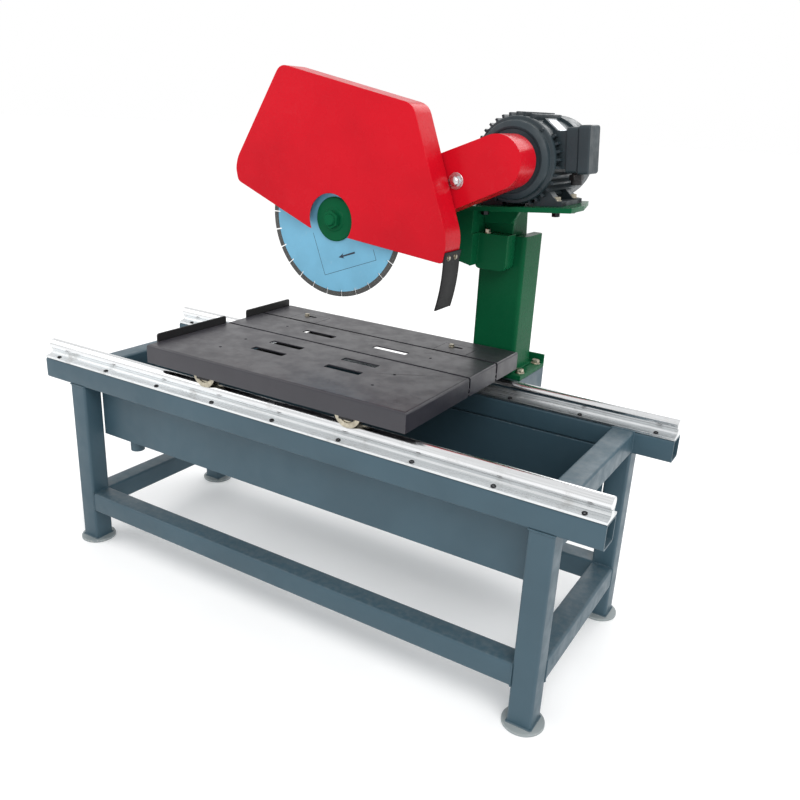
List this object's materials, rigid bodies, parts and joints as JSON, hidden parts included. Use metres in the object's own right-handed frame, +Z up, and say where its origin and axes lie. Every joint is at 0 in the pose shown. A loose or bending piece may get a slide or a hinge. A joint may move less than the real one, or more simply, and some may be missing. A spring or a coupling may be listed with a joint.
{
  "type": "wet tile saw",
  "caption": "Rail-type bridge saw for stone and tile: rolling slotted table on two round rails over a water tray, belt-driven guarded blade on a swinging head.",
  "frame": {"origin": "on the floor under the middle of the saw's bounding box", "axes": "+X along the rails towards the column's end, +Y from the front rail to the motor, +Z up"},
  "size_m": [1.7, 0.825, 1.3925],
  "materials": {
    "frame_paint": "grey-blue paint, satin",
    "table_paint": "charcoal semi-matt paint",
    "black_paint": "black semi-matt paint",
    "green_paint": "dark green gloss paint",
    "red_paint": "red gloss paint",
    "motor_paint": "dark blue-grey paint on cast fins",
    "rail_metal": "bright extruded rail support",
    "shaft_steel": "ground bright shaft",
    "zinc_steel": "zinc-plated steel",
    "blade_paint": "light blue paint, satin",
    "diamond_segment": "sintered metal with grit",
    "black_rubber": "black rubber"
  },
  "bodies": {
    "frame": {"rail_beam_front": "frame_paint", "rail_beam_rear": "frame_paint", "stretcher_front": "frame_paint", "stretcher_rear": "frame_paint", "stretcher_left": "frame_paint", "stretcher_right": "frame_paint", "leg_front_left": "frame_paint", "leg_front_right": "frame_paint", "leg_rear_left": "frame_paint", "leg_rear_right": "frame_paint", "cross_beam_left": "frame_paint", "cross_beam_right": "frame_paint", "water_tray": "frame_paint", "column_support": "frame_paint", "rail_support_front": "rail_metal", "rail_support_rear": "rail_metal", "rail_shaft_front": "shaft_steel", "rail_shaft_rear": "shaft_steel", "column_base_plate": "green_paint", "column": "green_paint", "pivot_pin": "zinc_steel"},
    "cart": {"table_panel_front": "table_paint", "table_panel_middle": "table_paint", "table_panel_rear": "table_paint", "inset_plate_left": "table_paint", "inset_plate_right": "table_paint", "fence_front": "black_paint", "fence_rear": "black_paint", "cross_member_left": "black_paint", "cross_member_right": "black_paint"},
    "roller_front_left": {"roller_front_left": "zinc_steel"},
    "roller_rear_left": {"roller_rear_left": "zinc_steel"},
    "roller_front_right": {"roller_front_right": "zinc_steel"},
    "roller_rear_right": {"roller_rear_right": "zinc_steel"},
    "slot_bolt_left": {"slot_bolt_left": "zinc_steel"},
    "slot_bolt_right": {"slot_bolt_right": "zinc_steel"},
    "head": {"motor_plate": "green_paint", "swing_arm": "green_paint", "blade_guard": "red_paint", "belt_guard_case": "red_paint", "belt_guard_cover": "red_paint", "motor_body": "motor_paint", "motor_end_shield": "motor_paint", "fan_cover": "motor_paint", "terminal_box": "motor_paint", "terminal_lid": "motor_paint", "cable_gland": "black_paint", "drive_belt": "black_rubber", "flap_strip": "black_rubber"},
    "flap": {"splash_flap": "black_rubber"},
    "spindle": {"spindle": "zinc_steel", "blade_core": "blade_paint", "diamond_rim": "diamond_segment", "blade_flange_outer": "green_paint", "blade_flange_inner": "green_paint", "arbor_nut": "green_paint", "spindle_pulley": "zinc_steel"},
    "rotor": {"motor_shaft": "zinc_steel", "cooling_fan": "black_paint", "motor_pulley": "zinc_steel"}
  },
  "joints": [
    {"name": "cart_slide", "type": "slide", "parent": "frame", "child": "cart", "axis": [1, 0, 0], "range_m": [-0.43, 0.46]},
    {"name": "roller_front_left_spin", "type": "hinge", "parent": "cart", "child": "roller_front_left", "pos_m": [-0.228, -0.3625, 0.643], "axis": [0, 1, 0], "range_deg": [-940, 1000]},
    {"name": "roller_front_right_spin", "type": "hinge", "parent": "cart", "child": "roller_front_right", "pos_m": [0.22, -0.3625, 0.643], "axis": [0, 1, 0], "range_deg": [-940, 1000]},
    {"name": "roller_rear_left_spin", "type": "hinge", "parent": "cart", "child": "roller_rear_left", "pos_m": [-0.228, 0.1675, 0.643], "axis": [0, 1, 0], "range_deg": [-940, 1000]},
    {"name": "roller_rear_right_spin", "type": "hinge", "parent": "cart", "child": "roller_rear_right", "pos_m": [0.22, 0.1675, 0.643], "axis": [0, 1, 0], "range_deg": [-940, 1000]},
    {"name": "bolt_slide_left", "type": "slide", "parent": "cart", "child": "slot_bolt_left", "axis": [1, 0, 0], "range_m": [0, 0.025]},
    {"name": "bolt_slide_right", "type": "slide", "parent": "cart", "child": "slot_bolt_right", "axis": [1, 0, 0], "range_m": [0, 0.025]},
    {"name": "head_pivot", "type": "hinge", "parent": "frame", "child": "head", "pos_m": [0.304, 0.2725, 0.958], "axis": [0, 1, 0], "range_deg": [-27, 12]},
    {"name": "blade_spin", "type": "hinge", "parent": "head", "child": "spindle", "pos_m": [-0.03, 0.0625, 1.03], "axis": [0, 1, 0], "continuous": true},
    {"name": "motor_spin", "type": "hinge", "parent": "head", "child": "rotor", "pos_m": [0.361, 0.1525, 1.199], "axis": [0, 1, 0], "continuous": true},
    {"name": "flap_bend", "type": "hinge", "parent": "head", "child": "flap", "pos_m": [0.3062, -0.0775, 0.966], "axis": [0, 1, 0], "range_deg": [-40, 0], "stiffness_Nm_per_rad": 0.6}
  ],
  "couplings": [
    {"joint": "roller_front_left_spin", "follows": "cart_slide", "rad_per_m": 37.037},
    {"joint": "roller_front_right_spin", "follows": "cart_slide", "rad_per_m": 37.037},
    {"joint": "roller_rear_left_spin", "follows": "cart_slide", "rad_per_m": 37.037},
    {"joint": "roller_rear_right_spin", "follows": "cart_slide", "rad_per_m": 37.037},
    {"joint": "motor_spin", "follows": "blade_spin", "ratio": 0.69565}
  ]
}
